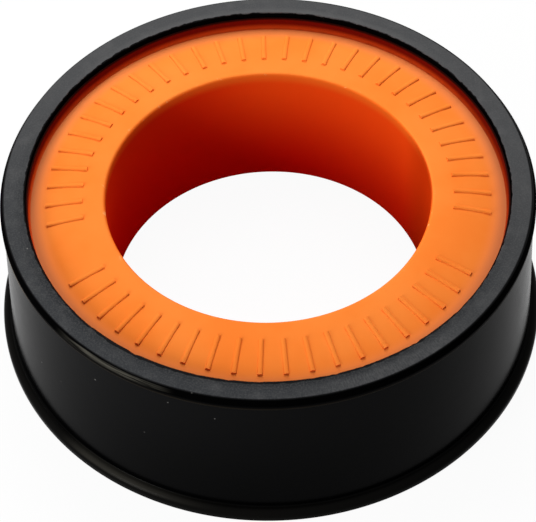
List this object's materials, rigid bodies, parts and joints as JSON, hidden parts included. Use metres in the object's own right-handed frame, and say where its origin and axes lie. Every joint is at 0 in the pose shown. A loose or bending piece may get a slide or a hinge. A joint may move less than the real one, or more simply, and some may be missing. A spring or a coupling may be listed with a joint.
{
  "type": "thread seal tape roll",
  "caption": "Roll of thread seal tape: a spool with a wide bore and a recessed flange carries wound tape and sits in a round cup-shaped shell with a rim bead and a foot flange.",
  "frame": {"origin": "on the roll's axis, in the plane that the shell's foot stands on", "axes": "+Z along the axis, from the shell's foot up to its open rim; the tape's free end starts on the +X side"},
  "size_m": [0.0534, 0.0534, 0.0171],
  "materials": {
    "shell_plastic": "matte on the rim, satin on the wall",
    "spool_plastic": "waxy satin",
    "tape": "soft matte film"
  },
  "bodies": {
    "shell": {"shell": "shell_plastic"},
    "tape_end": {"tape_tail": "tape"},
    "spool": {"spool": "spool_plastic", "tape_winding": "tape"}
  },
  "joints": [
    {"name": "lift_out", "type": "slide", "parent": "shell", "child": "tape_end", "axis": [0, 0, 1], "range_m": [0, 0.02]},
    {"name": "spool_turn", "type": "hinge", "parent": "tape_end", "child": "spool", "pos_m": [0, 0, 0.0085], "axis": [0, 0, 1], "continuous": true}
  ]
}
